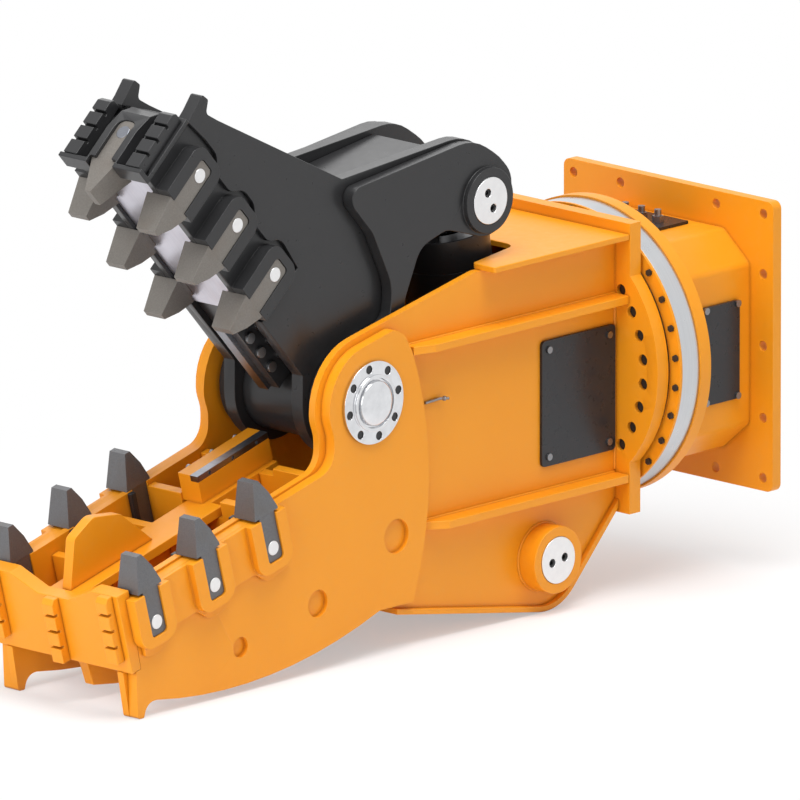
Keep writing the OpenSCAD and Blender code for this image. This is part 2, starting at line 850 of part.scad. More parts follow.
module lower_front_plate() {
  side = [low(front_x, front_foot), low(front_x, front_top), plate_rear(front_top), plate_rear(front_foot)];
  valley = [[-front_half_w - 1, front_top + 1], [-150, front_top + 1], [-140, front_top],
    [-52, front_valley], [52, front_valley], [140, front_top], [150, front_top + 1],
    [front_half_w + 1, front_top + 1], [front_half_w + 1, front_foot - 80],
    [-front_half_w - 1, front_foot - 80]];
  color(orange) intersection() {
    slab(-front_half_w, front_half_w) polygon(side);
    low_place() wafer(front_x - 20, front_rear_x + 30) polygon(valley);
  }
}

comb_w = 38;
comb_y = front_half_w - comb_w / 2 - 17;
comb_proud = 26;
comb_blocks = 4;
comb_h = 180;

// A row of blocks standing proud of a face at x = 0 towards -x
module comb(w, h, proud, blocks, gap, cut = 0.5) {
  slab(-w / 2, w / 2) difference() {
    polygon([[0, 0], [0, h], [10 - proud, h], [-proud, h - 12], [-proud, 0]]);
    for (i = [1 : blocks - 1])
      translate([-proud - 1, h * i / blocks - gap / 2]) square([proud * cut + 1, gap]);
  }
}

module lower_front_strips() {
  color(orange) low_place(front_x, 0) {
    for (s = [-1, 1])
      translate([0, s * comb_y, front_top - comb_h]) comb(comb_w, comb_h, comb_proud, comb_blocks, 7);
    translate([0, 0, front_foot]) comb(comb_w, front_valley - front_foot, comb_proud, comb_blocks, 7);
  }
}

rib_web_t = 30;
rib_cap_w = 110;
rib_cap_t = 25;
rib_rear = 478;
rib_foot = front_valley - 6;
web_rear = 725;

module centre_rib() {
  web = concat(
    [plate_rear(front_foot), plate_rear(rib_foot - rib_cap_t), low(web_rear, rib_foot - rib_cap_t)],
    [low(web_rear, -40), low(web_rear - 60, -130)],
    [for (p = jaw_bottom()) if (p[0] < low(web_rear - 80, 0)[0] && p[0] > low(0, 0)[0]) p],
    [low(-36, -150)]);
  cap = [plate_rear(rib_foot), low(rib_rear, rib_foot),
    low(rib_rear, rib_foot - rib_cap_t), plate_rear(rib_foot - rib_cap_t)];
  color(orange) {
    slab(-rib_web_t / 2, rib_web_t / 2) polygon(web);
    slab(-rib_cap_w / 2, rib_cap_w / 2) polygon(cap);
    slab(-rib_web_t / 2, rib_web_t / 2)
      polygon([low(rib_rear, rib_foot - rib_cap_t - 1), low(rib_rear, rib_foot),
        low(web_rear, rib_foot), low(web_rear, rib_foot - rib_cap_t - 1)]);
  }
}

// Each cross rib's place along the jaw and the height of its top
cross_ribs_at = [[108, 58], [324, 58], [470, 80], [667, 80]];
cross_t = 25;
cross_foot = -132;

module cross_ribs() {
  color(orange) both_sides() for (c = cross_ribs_at) {
    middle = c[0] < rib_rear ? rib_foot - rib_cap_t : rib_foot;
    side = c[0] < seat_x[0] ? rib_cap_w / 2 : seat_w;
    low_place(c[0] - cross_t / 2, 0) {
      translate([0, rib_web_t / 2, cross_foot])
        cube([cross_t, side_in - rib_web_t / 2, middle - cross_foot]);
      translate([0, side, middle - 1]) cube([cross_t, side_in - side, c[1] - middle + 1]);
    }
  }
}

fin_t = 30;

module centre_fin() {
  foot = rib_foot;
  color(orange) slab(-fin_t / 2, fin_t / 2)
    polygon(rounded([low_r(-42, foot, 0), low_r(4, foot + 122, 20), low_r(80, foot + 147, 40),
      low_r(172, foot + 113, 30), low_r(262, foot, 0)]));
}

seat_x = [463, 725];
seat_w = 67;
shear_gap = 0.5;
blade_t = 26;
blade_h = 16;
seat_top = [135, 137];

// The seat's top runs from the front height to the rear height
function seat_line(x) = seat_top[0] + (seat_top[1] - seat_top[0]) * (x - seat_x[0]) / (seat_x[1] - seat_x[0]);

module blade_seat() {
  foot = rib_foot;
  color(orange) difference() {
    slab(shear_gap, seat_w)
      polygon([low(seat_x[0], foot), low(seat_x[0], seat_line(seat_x[0])),
        low(seat_x[1], seat_line(seat_x[1])), low(seat_x[1], foot)]);
    slab(shear_gap - 1, blade_t)
      polygon([low(seat_x[0] - 1, seat_line(seat_x[0] - 1) - blade_h), low(seat_x[0] - 1, 300),
        low(seat_x[1] + 1, 300), low(seat_x[1] + 1, seat_line(seat_x[1] + 1) - blade_h)]);
    seat_bolt_bars(seat_bolt_r, blade_t - 1, seat_w + 1);
  }
}

module lower_blade() {
  color(bright) difference() {
    slab(shear_gap, blade_t)
      polygon([low(seat_x[0], seat_top[0] - blade_h), low(seat_x[0], seat_top[0]),
        low(seat_x[1], seat_top[1]), low(seat_x[1], seat_top[1] - blade_h)]);
    seat_bolt_bars(seat_bolt_r, -1, blade_t + 1);
  }
}

blade_bolt_r = 7;
seat_bolt_r = 5;

module seat_bolt_bars(r, y0, y1) {
  for (i = [0 : 2]) {
    x = seat_x[0] + (seat_x[1] - seat_x[0]) * (i + 0.5) / 3;
    bar_y(low(x, seat_line(x) - blade_h / 2), r, y0, y1);
  }
}

module lower_blade_bolts() {
  color(steel) {
    seat_bolt_bars(seat_bolt_r, shear_gap + 6, seat_w);
    seat_bolt_bars(9, seat_w, seat_w + 7);
  }
}

// Teeth, their pins, guides and wear plates

shank_foot = -27;
shank_r = 12;
// The tooth pins stop this far short of the teeth's inner faces
pin_blind = 6;

// A saddle tooth over a plate between gap_in and gap_out; its tip points to +z
module tooth(inner, gap_in, gap_out, outer, seat) {
  head = [[-head_w / 2, seat], [-16, seat + head_h], [2, seat + head_h], [26, seat + 0.55 * head_h],
    [head_w / 2 - 2, seat + 6], [head_w / 2 - 2, seat]];
  taper = [[inner, seat], [inner + 10, seat + head_h], [outer - 10, seat + head_h], [outer, seat]];
  intersection() {
    slab(inner, outer) polygon(head);
    wafer(-head_w, head_w) polygon(taper);
  }
  leg = rounded([[-shank_w / 2, shank_foot - 7, shank_r], [shank_w / 2, shank_foot - 7, shank_r],
    [shank_w / 2, seat + 1], [-shank_w / 2, seat + 1]]);
  short = [[-shank_w / 2, shank_foot + 2], [shank_w / 2, shank_foot + 2],
    [shank_w / 2, seat + 1], [-shank_w / 2, seat + 1]];
  difference() {
    union() {
      slab(gap_out, outer - 1) polygon(leg);
      slab(inner + 1, gap_in) polygon(short);
    }
    bar_y([0, 0], tooth_pin_d / 2, inner + pin_blind, outer + 1);
  }
}

tooth_in_low = side_in + 3;
rim_proud_low = 20;
tooth_out_low = lower_wear_out + rim_proud_low - 5;

module lower_teeth() {
  color(steel) both_sides() for (t = [0 : 2])
    low_place(lower_pitch * t)
      tooth(tooth_in_low, side_out - side_gap, cheek_out + side_gap, tooth_out_low, edge_h + side_gap);
}

module lower_tooth_pins() {
  color(bright) both_sides() for (t = [0 : 2])
    bar_y(low(lower_pitch * t, 0), tooth_pin_d / 2, tooth_in_low + pin_blind, tooth_out_low + 1);
}

guide_w = 18;
guide_h = 118;

module tooth_guides() {
  color(black) both_sides() for (t = [0 : 2])
    low_place(lower_pitch * t - shank_w / 2 - 2 - guide_w / 2)
      translate([-guide_w / 2, side_in - 14, shank_foot])
        cube([guide_w, 14, guide_h]);
}

rim_w = 66;

// Wavy wear plate with a raised rim round each shank; all sizes from the tooth pins, in the lower frame
function wear_outline(pitch, x0, x1, top, valley, lobe) = rounded([
  [x0, top], [x0, -lobe * 0.9], [-28, -lobe, 40],
  [28, -lobe, 40], [70, valley, 34], [pitch - 62, valley, 34], [pitch - 28, -lobe, 40],
  [pitch + 28, -lobe, 40], [pitch + 70, valley, 34], [2 * pitch - 62, valley, 34],
  [2 * pitch - 28, -lobe, 40], [x1, -lobe * 0.86], [x1, top]]);

module shank_slot(y0, y1, top) {
  slab(y0, y1) polygon(rounded([[-shank_w / 2 - 0.5, shank_foot - 8, shank_r],
    [shank_w / 2 + 0.5, shank_foot - 8, shank_r], [shank_w / 2 + 0.5, top], [-shank_w / 2 - 0.5, top]]));
}

// The plate's face leans from face_top at the teeth to face_foot at the wave
module wear_plate(pitch, x0, x1, top, valley, lobe, y0, face_top, face_foot, rim_out) {
  difference() {
    union() {
      intersection() {
        slab(y0, rim_out) polygon(wear_outline(pitch, x0, x1, top, valley, lobe));
        wafer(x0, x1) polygon([[y0, top + 1], [face_top, top + 1], [face_foot, -lobe - 1], [y0, -lobe - 1]]);
      }
      for (t = [0 : 2]) translate([pitch * t, 0, 0])
        slab(y0, rim_out) polygon(rounded([[-rim_w, shank_foot - 32, 38],
          [rim_w - 4, shank_foot - 32, 38], [rim_w - 4, top], [-rim_w, top]]));
    }
    for (t = [0 : 2]) translate([pitch * t, 0, 0]) shank_slot(y0 - 1, rim_out + 1, top + 1);
  }
}

module lower_wear_plates() {
  color(orange) both_sides() low_place()
    wear_plate(lower_pitch, front_rear_x + 6, 2 * lower_pitch + 66, edge_h - cheek_drop, -46, 86,
      cheek_out, lower_wear_out, lower_wear_out + 1, lower_wear_out + rim_proud_low);
}

// Upper jaw

upper_edge = -100;
upper_front_x = -128;
upper_front_t = 13;
upper_front_rear = upper_front_x + upper_front_t;
hub_r = 150;
arm_hub_r = 130;
mouth_end = up(0, upper_edge);
// Where the jaw's mouth edge meets the hub's upright front
hub_corner = [pivot[0] - hub_r, mouth_end[1] - (pivot[0] - hub_r - mouth_end[0]) * tan(upper_slope)];
tube_r = 120;
arm_end_r = 94;
arm_lobe_r = 84;
arm_boss_t = 15;

function arm_underside() = rounded([at_pivot(hub_r, 12), at_pivot(187, 227, 60),
  at_pivot(240, 344, 70), at_pivot(335, 372, 60), at_pivot(430, 342)]);

function jaw_points() = concat(
    arc(pivot, hub_r, 180, 364, 21),
    arm_underside(),
    arc(arm_pin_at, arm_end_r, -105, 8, 10),
    rounded([at_pivot(571, 446), at_pivot(572, 478, 70), at_pivot(527, 529, 190), at_pivot(434, 592, 150),
      at_pivot(-6, 556), up_r(-32, 147, 22), up_r(-78, 132, 14), up_r(-99, 161, 7),
      up_r(-126, 156, 8), up(-117, 106)]),
    [up(upper_front_rear, 78), up(upper_front_rear, upper_edge), hub_corner]);

module pin_holes_upper(y0, y1) {
  for (t = [0 : 2]) bar_y(up(upper_pitch * t, 0), tooth_pin_d / 2, y0, y1);
}

module jaw_plates() {
  color(black) both_sides() {
    difference() {
      slab(jaw_in, jaw_out) polygon(jaw_points());
      bar_y(pivot, tube_r, jaw_in - 1, jaw_out + 1);
      bar_y(arm_pin_at, link_pin_d / 2, jaw_in - 1, jaw_out + 1);
      pin_holes_upper(jaw_in - 1, jaw_out + 1);
      up_place() mirror([0, 0, 1]) slab(pocket_floor, jaw_out + 1)
        polygon(wear_outline(upper_pitch, upper_wear_x[0], upper_wear_x[1], 1 - upper_edge,
          upper_valley, upper_lobe));
    }
    difference() {
      bar_y(arm_pin_at, arm_lobe_r, eye_half + side_gap, jaw_in);
      bar_y(arm_pin_at, link_pin_d / 2, eye_half - 1, jaw_in + 1);
    }
  }
}

function arm_points() = concat(
    arc(pivot, arm_hub_r, 78, 330, 26),
    arm_underside(),
    arc(arm_pin_at, arm_end_r, -105, 8, 10),
    rounded([at_pivot(571, 446), at_pivot(572, 478, 70), at_pivot(527, 529, 190), at_pivot(434, 588, 150),
      at_pivot(-16, 532, 30), at_pivot(0, 486, 40), at_pivot(68, 410, 80), at_pivot(139, 262, 120),
      at_pivot(128, 176, 40), at_pivot(60, 160)]));

module arm_plates() {
  color(black) both_sides() difference() {
    union() {
      slab(jaw_out, arm_out) polygon(arm_points());
      bar_y(arm_pin_at, arm_lobe_r, arm_out - 1, arm_out + arm_boss_t);
    }
    bar_y(pivot, tube_r, jaw_out - 1, arm_out + 1);
    bar_y(arm_pin_at, link_pin_d / 2, jaw_out - 1, arm_out + arm_boss_t + 1);
  }
}

upper_wear_x = [upper_front_rear + 4, 2 * upper_pitch + 74];
upper_valley = -52;
upper_lobe = 86;
bed_top = upper_edge + 30;
bed_t = 20;
bed_rear = 2 * upper_pitch + 60;
tooth_in_up = jaw_in - 22;
tooth_out_up = jaw_out + 22;

module jaw_bed_plate() {
  color(bright) difference() {
    up_place() translate([upper_front_rear + 32, -jaw_in, bed_top - bed_t])
      cube([bed_rear - upper_front_rear - 32, 2 * jaw_in, bed_t]);
    for (t = [0 : 2]) both_sides() up_place(upper_pitch * t)
      translate([-shank_w / 2 - 1, tooth_in_up - 0.5, upper_edge - 10]) cube([shank_w + 2, 60, 100]);
  }
}

cover_sink = 26;
roof_t = 16;

module jaw_top_cover() {
  color(black) slab(-jaw_in, jaw_in)
    polygon(concat(
      [up(-60, 118), up(434, 327 - cover_sink)],
      [pivot + [10, 548 - cover_sink], pivot + [350, 598 - cover_sink],
        pivot + [350, 598 - cover_sink - roof_t], pivot + [12, 548 - cover_sink - roof_t]],
      [up(434, 327 - cover_sink - roof_t), up(-60, 118 - roof_t)]));
}

module pivot_tube() {
  color(black) difference() {
    bar_y(pivot, tube_r, -side_in + side_gap, side_in - side_gap);
    bar_y(pivot, tube_r - 25, -side_in, side_in);
  }
}

bush_len = 80;

module pivot_bushes() {
  color("#B08D57") both_sides() difference() {
    bar_y(pivot, tube_r - 25, side_in - side_gap - bush_len, side_in - side_gap);
    bar_y(pivot, main_pin_d / 2 + run_gap, 0, side_in + 1);
  }
}

upper_front_half = 140;
upper_front_foot = -121;
upper_front_top = 77;
frame_x = -162;
frame_half = 50;
lip_t = 13;
leg_top = 21;
front_tooth_x = -152;
front_pin_z = -12;

// The outline of the front tooth's shank, seen from the front
function front_leg(half, top, foot) = rounded([[-half, foot], [half, foot], [half, top, 20], [-half, top, 20]]);

// The nose plate, with a raised frame round the front tooth's shank
module upper_front_plate() {
  slot = shank_w / 2 + 0.5;
  color(black) up_place() {
    difference() {
      union() {
        translate([upper_front_x, -upper_front_half, upper_front_foot])
          cube([upper_front_t, 2 * upper_front_half, upper_front_top - upper_front_foot]);
        slab(-frame_half, frame_half)
          polygon([[upper_front_x + 1, upper_front_foot], [frame_x, upper_front_foot], [frame_x, -8],
            [frame_x + 12, 48], [upper_front_x + 1, upper_front_top]]);
        translate([frame_x, -upper_front_half, upper_front_foot])
          cube([upper_front_x - frame_x + 1, 2 * upper_front_half, lip_t]);
      }
      wafer(frame_x - 1, upper_front_rear + 1)
        polygon(front_leg(slot, leg_top + 1, upper_front_foot - 1));
      translate([frame_x - 1, -head_w / 2 - 1, upper_front_foot - 1])
        cube([upper_front_rear - frame_x + 2, head_w + 2, upper_edge - upper_front_foot + 1]);
    }
    difference() {
      translate([upper_front_rear, -jaw_in, upper_edge]) cube([30, 2 * jaw_in, 150]);
      bar_x([0, front_pin_z], tooth_pin_d / 2, upper_front_rear - 1, upper_front_rear + 31);
    }
  }
}

// The front tooth has one flat shank that lies in the front plate
module front_tooth() {
  depth = 77;
  x0 = front_tooth_x;
  color(steel) up_place() difference() {
    union() {
      intersection() {
        translate([x0, 0, 0]) rotate([0, 0, 90]) mirror([0, 1, 0]) mirror([0, 0, 1])
          slab(0, depth) polygon([[-head_w / 2, -upper_edge + 0.3], [-9, -upper_edge + head_h],
            [9, -upper_edge + head_h], [head_w / 2, -upper_edge + 0.3]]);
        slab(-head_w, head_w) polygon([[x0, upper_edge], [x0 + 10, upper_edge - head_h],
          [x0 + depth - 12, upper_edge - head_h], [x0 + depth, upper_edge]]);
      }
      wafer(x0, upper_front_rear - 0.3) polygon(front_leg(shank_w / 2, leg_top, upper_edge - 1));
    }
    bar_x([0, front_pin_z], tooth_pin_d / 2, x0 - 1, x0 + depth + 1);
  }
}

upper_comb_y = upper_front_half - 34;

module upper_front_strips() {
  foot = upper_front_foot + lip_t + 0.1;
  // The strips stand 0.02 off the plate, so that rounded coordinates can't make them overlap
  color(black) up_place(upper_front_x - 0.02, foot)
    for (s = [-1, 1])
      translate([0, s * upper_comb_y, 0]) comb(45, upper_front_top - foot - 8, 37, 4, 8, 0.38);
}

module upper_wear_plates() {
  color(black) both_sides() up_place() mirror([0, 0, 1])
    wear_plate(upper_pitch, upper_wear_x[0], upper_wear_x[1], -upper_edge, upper_valley, upper_lobe,
      pocket_floor, pocket_floor + 2, pocket_floor + 6, jaw_out + 24);
}

module upper_teeth() {
  color(steel) both_sides() for (t = [0 : 2])
    up_place(upper_pitch * t) mirror([0, 0, 1])
      tooth(tooth_in_up, jaw_in - side_gap, pocket_floor + side_gap, tooth_out_up, -upper_edge + side_gap);
}

module upper_tooth_pins() {
  color(bright) {
    both_sides() for (t = [0 : 2])
      bar_y(up(upper_pitch * t, 0), tooth_pin_d / 2, tooth_in_up + pin_blind, tooth_out_up + 1);
    up_place() bar_x([0, front_pin_z], tooth_pin_d / 2, front_tooth_x - 1, upper_front_rear + 30);
  }
}

// Shear blade of the upper jaw and its holder, in the upper jaw's frame
blade_x = [485, 722];
blade_edge = -145;
upper_blade_h = 62;
upper_blade_top = blade_edge + upper_blade_h - 0.1;
upper_blade_t = 32;
holder_t = 30;
holder_top = 10;

module blade_holder() {
  color(black) difference() {
    slab(-upper_blade_t - holder_t, -upper_blade_t)
      polygon([up(blade_x[0] - 20, blade_edge + 12), up(blade_x[1], blade_edge + 12),
        up(blade_x[1], holder_top), up(blade_x[0] - 20, holder_top)]);
    bar_y(pivot, tube_r, -jaw_in, 0);
    upper_bolt_bars(blade_bolt_r, -jaw_in, 0);
  }
  color(black) difference() {
    slab(-upper_blade_t, jaw_in)
      polygon([up(blade_x[0] - 20, blade_edge + upper_blade_h), up(blade_x[1], blade_edge + upper_blade_h),
        up(blade_x[1], holder_top), up(blade_x[0] - 20, holder_top)]);
    bar_y(pivot, tube_r, -jaw_in - 1, jaw_in + 1);
  }
  color(black)
    slab(-jaw_in, -upper_blade_t - holder_t)
      polygon([up(blade_x[0] - 20, -20), up(blade_x[1] - 60, -20),
        up(blade_x[1] - 60, holder_top), up(blade_x[0] - 20, holder_top)]);
}

blade_bolt_z = -116;
holder_screw_z = -77;

module upper_bolt_bars(r, y0, y1, z = blade_bolt_z) {
  for (i = [0 : 2]) bar_y(up(blade_x[0] + 53 + 58 * i, z), r, y0, y1);
}

module upper_blade() {
  color(bright) difference() {
    slab(-upper_blade_t, -shear_gap)
      polygon([up(blade_x[0], blade_edge), up(blade_x[1], blade_edge),
        up(blade_x[1], upper_blade_top), up(blade_x[0], upper_blade_top)]);
    upper_bolt_bars(blade_bolt_r, -upper_blade_t - 1, 1);
  }
}

module upper_blade_bolts() {
  color(steel) {
    upper_bolt_bars(blade_bolt_r, -upper_blade_t - holder_t, -shear_gap - 6);
    upper_bolt_bars(14, -upper_blade_t - holder_t - 9, -upper_blade_t - holder_t);
    upper_bolt_bars(9, -upper_blade_t - holder_t - 6, -upper_blade_t - holder_t, holder_screw_z);
  }
}

module arm_pin() {
  color(bright) link_pin(arm_pin_at, arm_out + arm_boss_t + 2, 115);
}

// Hydraulic cylinder; its axis runs from the base pin towards the arm pin

eye_half = 80;
eye_r = 78;
base_eye_r = 92;
// The cylinder's angle at rest, a little behind the line between its pins
cylinder_lag = 0.27;
link = arm_pin_at - base_pin_at;
cylinder_angle = atan2(link[1], link[0]) - cylinder_lag;
bottom_at = 118;
gland_len = 85;
piston_len = 80;
piston_at = bottom_at + 12;

// Places children with +x along the cylinder, from a pin
module along_cylinder(at) {
  translate([at[0], 0, at[1]]) rotate([0, -cylinder_angle, 0]) children();
}

module cylinder_barrel() {
  color(black) difference() {
    union() {
      along_cylinder(base_pin_at) {
        bar_x([0, 0], barrel_d / 2, bottom_at - 30, barrel_len - gland_len);
        translate([0, -eye_half, -eye_half]) cube([bottom_at, 2 * eye_half, 2 * eye_half]);
        port_block(bottom_at + 30);
        port_block(barrel_len - gland_len - 90);
      }
      bar_y(base_pin_at, base_eye_r, -eye_half - 10, eye_half + 10);
    }
    along_cylinder(base_pin_at)
      bar_x([0, 0], barrel_bore / 2, bottom_at, barrel_len);
    bar_y(base_pin_at, link_pin_d / 2 + run_gap, -eye_half - 20, eye_half + 20);
  }
}

module port_block(x) {
  translate([x, -30, -barrel_d / 2 - 22]) cube([60, 60, 60]);
}

module cylinder_gland() {
  color(black) along_cylinder(base_pin_at) difference() {
    union() {
      bar_x([0, 0], barrel_d / 2, barrel_len - gland_len, barrel_len);
      bar_x([0, 0], barrel_bore / 2, barrel_len - gland_len - 30, barrel_len);
    }
    bar_x([0, 0], rod_d / 2 + slide_gap, barrel_len - gland_len - 31, barrel_len + 1);
  }
}

module piston_rod() {
  reach = norm(link) * cos(cylinder_lag);
  color(bright) difference() {
    union() {
      along_cylinder(arm_pin_at) {
        bar_x([0, 0], rod_d / 2, piston_at - reach, -eye_r / 2);
        bar_x([0, 0], barrel_bore / 2 - slide_gap, piston_at - reach, piston_at - reach + piston_len);
      }
      bar_y(arm_pin_at, eye_r, -eye_half, eye_half);
    }
    bar_y(arm_pin_at, link_pin_d / 2 + run_gap, -eye_half - 1, eye_half + 1);
  }
}

mounting_plate();
bracket_box();
bracket_disk();
bracket_covers();
bracket_cover_screws();
slew_motor();
bracket_fittings();
swivel_housing();
outer_race();
bolt_ring();
ring_bolts();
pinion();
inner_race();
slew_balls();
swivel_rotor();
rear_flange();
flange_bolts();
side_plates();
top_plate();
bottom_plate();
side_ribs();
cheek_plates();
main_pin();
pin_caps();
cap_bolts();
inspection_covers();
cover_screws();
base_pin_bosses();
base_pin();
lower_front_plate();
lower_front_strips();
centre_rib();
cross_ribs();
centre_fin();
blade_seat();
lower_blade();
lower_blade_bolts();
lower_wear_plates();
lower_teeth();
lower_tooth_pins();
tooth_guides();
jaw_plates();
arm_plates();
jaw_bed_plate();
jaw_top_cover();
pivot_tube();
pivot_bushes();
upper_front_plate();
upper_front_strips();
upper_wear_plates();
upper_teeth();
front_tooth();
upper_tooth_pins();
blade_holder();
upper_blade();
upper_blade_bolts();
arm_pin();
cylinder_barrel();
cylinder_gland();
piston_rod();
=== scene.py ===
# %% [markdown]
# # A rotating concrete crusher
#
# This notebook dresses a finished CAD model of a demolition tool: two jaws with bolt-on teeth,
# a welded orange body, a slewing ring and a mounting plate. The solids come in from the packed
# model, so the work here is edges, seams, small fittings and paint. We start by loading the
# frame and keeping its box, because the dressed part has to stay inside it.

import json
import math

import bmesh
import bpy
from mathutils import Matrix, Vector

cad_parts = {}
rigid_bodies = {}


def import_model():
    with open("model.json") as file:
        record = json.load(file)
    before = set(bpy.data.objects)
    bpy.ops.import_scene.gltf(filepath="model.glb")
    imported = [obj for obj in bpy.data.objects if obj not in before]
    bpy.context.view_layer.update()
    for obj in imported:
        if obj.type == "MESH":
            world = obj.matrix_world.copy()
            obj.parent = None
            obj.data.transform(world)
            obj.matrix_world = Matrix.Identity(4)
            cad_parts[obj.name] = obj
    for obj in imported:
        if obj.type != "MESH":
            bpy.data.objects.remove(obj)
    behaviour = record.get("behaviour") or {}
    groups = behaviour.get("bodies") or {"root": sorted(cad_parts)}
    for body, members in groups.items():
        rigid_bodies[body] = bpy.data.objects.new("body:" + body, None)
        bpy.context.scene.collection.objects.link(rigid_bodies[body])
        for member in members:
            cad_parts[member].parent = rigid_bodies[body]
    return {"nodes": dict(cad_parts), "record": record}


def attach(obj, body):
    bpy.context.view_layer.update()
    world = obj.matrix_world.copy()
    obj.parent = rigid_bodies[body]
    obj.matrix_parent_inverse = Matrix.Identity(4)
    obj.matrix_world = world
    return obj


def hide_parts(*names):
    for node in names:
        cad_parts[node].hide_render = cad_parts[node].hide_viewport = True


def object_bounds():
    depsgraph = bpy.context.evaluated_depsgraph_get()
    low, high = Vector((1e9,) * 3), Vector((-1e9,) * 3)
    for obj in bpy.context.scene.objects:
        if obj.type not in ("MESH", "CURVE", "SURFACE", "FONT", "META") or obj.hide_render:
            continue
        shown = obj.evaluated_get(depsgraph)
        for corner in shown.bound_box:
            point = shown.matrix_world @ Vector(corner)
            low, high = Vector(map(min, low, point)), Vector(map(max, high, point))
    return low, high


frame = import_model()
cad_box = [[float(number) for number in corner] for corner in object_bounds()]
scene = bpy.context.scene
print("parts in the frame:", len(frame["nodes"]))

# %% [markdown]
# ## The camera
#
# The photograph was taken with a very long lens, so parallel edges stay parallel. A lens of
# 1600 mm at 89 m frames 2.0 m. The direction below looks from 46.5 degrees to the left of a
# plain side view and 13.9 degrees above the horizon. We build the camera's three axes by hand,
# because that leaves nothing to an aiming constraint.

# %% Place the camera
photo_right = Vector((0.6884, -0.7254, 0.0)).normalized()
photo_back = Vector((-0.70428, -0.66835, 0.23983)).normalized()
photo_up = photo_back.cross(photo_right)
photo_target = Vector((-1.0103, 0.0, -0.0194))
photo_distance = 88.89

camera_data = bpy.data.cameras.new("long_lens")
camera_data.lens = 1600
camera_data.sensor_width = 36
camera_data.clip_start = 1
camera_data.clip_end = 400
camera = bpy.data.objects.new("long_lens", camera_data)
turn = Matrix((photo_right, photo_up, photo_back)).transposed().to_4x4()
camera.matrix_world = Matrix.Translation(photo_target + photo_back * photo_distance) @ turn
scene.collection.objects.link(camera)
scene.camera = camera
print("camera stands at", [round(value, 2) for value in camera.location])

# %% [markdown]
# ## Helpers for materials
#
# Two helpers are enough. One turns an sRGB hex colour into the linear numbers that shaders
# want. The other adds a node with its settings, values and links.

# %% Colour and node helpers
def linear(hex_colour):
    channels = [int(hex_colour[i:i + 2], 16) / 255 for i in (1, 3, 5)]
    curve = [c / 12.92 if c <= 0.04045 else ((c + 0.055) / 1.055) ** 2.4 for c in channels]
    return (*curve, 1.0)


def add_node(tree, kind, settings={}, values={}, links={}):
    made = tree.nodes.new(kind)
    for name, value in settings.items():
        setattr(made, name, value)
    for socket, value in values.items():
        made.inputs[socket].default_value = value
    for socket, source in links.items():
        tree.links.new(source, made.inputs[socket])
    return made


def new_material(name):
    material = bpy.data.materials.new(name)
    material.use_nodes = True
    material.node_tree.nodes.clear()
    return material, material.node_tree


# %% [markdown]
# ## Sprayed enamel
#
# The steel plates are sprayed with a two-pack enamel. Up close such paint is not flat: it has
# an orange peel of about 3 mm, the tone drifts over a hand's width where the gun passed, and a
# little dust dulls it in patches. A painted shade darkens the paint beside each step, which draws
# the shadowed seams between the plates. One recipe serves the orange, the black and the covers,
# with their colours and gloss as arguments.

# %% Paint recipe
def enamel(name, main, drift, dusty, crease_shade, roughness, spread, peel_depth, dust_amount):
    material, tree = new_material(name)
    place = add_node(tree, "ShaderNodeTexCoord").outputs["Object"]
    # 4 per metre gives patches of about 250 mm, the width of a spray pass
    passes = add_node(tree, "ShaderNodeTexNoise",
                      values={"Scale": 4.0, "Detail": 3.0, "Roughness": 0.5},
                      links={"Vector": place})
    # 40 per metre gives dust clouds of about 25 mm
    clouds = add_node(tree, "ShaderNodeTexNoise",
                      values={"Scale": 40.0, "Detail": 6.0, "Roughness": 0.65},
                      links={"Vector": place})
    dust = add_node(tree, "ShaderNodeMapRange",
                    values={"From Min": 0.52, "From Max": 0.78, "To Max": dust_amount},
                    links={"Value": clouds.outputs["Fac"]})
    tone = add_node(tree, "ShaderNodeMix", {"data_type": "RGBA"},
                    {6: linear(main), 7: linear(drift)}, {0: passes.outputs["Fac"]})
    dusted = add_node(tree, "ShaderNodeMix", {"data_type": "RGBA"}, {7: linear(dusty)},
                      {0: dust.outputs["Result"], 6: tone.outputs[2]})
    # Painted shade darkens the last 14 mm beside a step, found by occlusion, to draw shadowed seams
    corner = add_node(tree, "ShaderNodeAmbientOcclusion", {"samples": 8}, {"Distance": 0.014})
    painted_crease_shade = add_node(tree, "ShaderNodeMapRange",
                     values={"From Min": 0.35, "From Max": 0.85, "To Min": 0.6, "To Max": 0.0},
                     links={"Value": corner.outputs["AO"]})
    crease_shaded = add_node(tree, "ShaderNodeMix", {"data_type": "RGBA"}, {7: linear(crease_shade)},
                      {0: painted_crease_shade.outputs["Result"], 6: dusted.outputs[2]})
    dull = add_node(tree, "ShaderNodeMapRange",
                    values={"From Min": 0.3, "From Max": 0.75,
                            "To Min": roughness, "To Max": roughness + spread},
                    links={"Value": clouds.outputs["Fac"]})
    # 330 per metre is the 3 mm orange peel
    peel = add_node(tree, "ShaderNodeTexNoise", values={"Scale": 330.0, "Detail": 1.0},
                    links={"Vector": place})
    bump = add_node(tree, "ShaderNodeBump", values={"Strength": peel_depth, "Distance": 0.0006},
                    links={"Height": peel.outputs["Fac"]})
    shader = add_node(tree, "ShaderNodeBsdfPrincipled",
                      values={"IOR": 1.5, "Specular IOR Level": 0.36},
                      links={"Base Color": crease_shaded.outputs[2],
                             "Roughness": dull.outputs["Result"],
                             "Normal": bump.outputs["Normal"]})
    add_node(tree, "ShaderNodeOutputMaterial", links={"Surface": shader.outputs["BSDF"]})
    return material
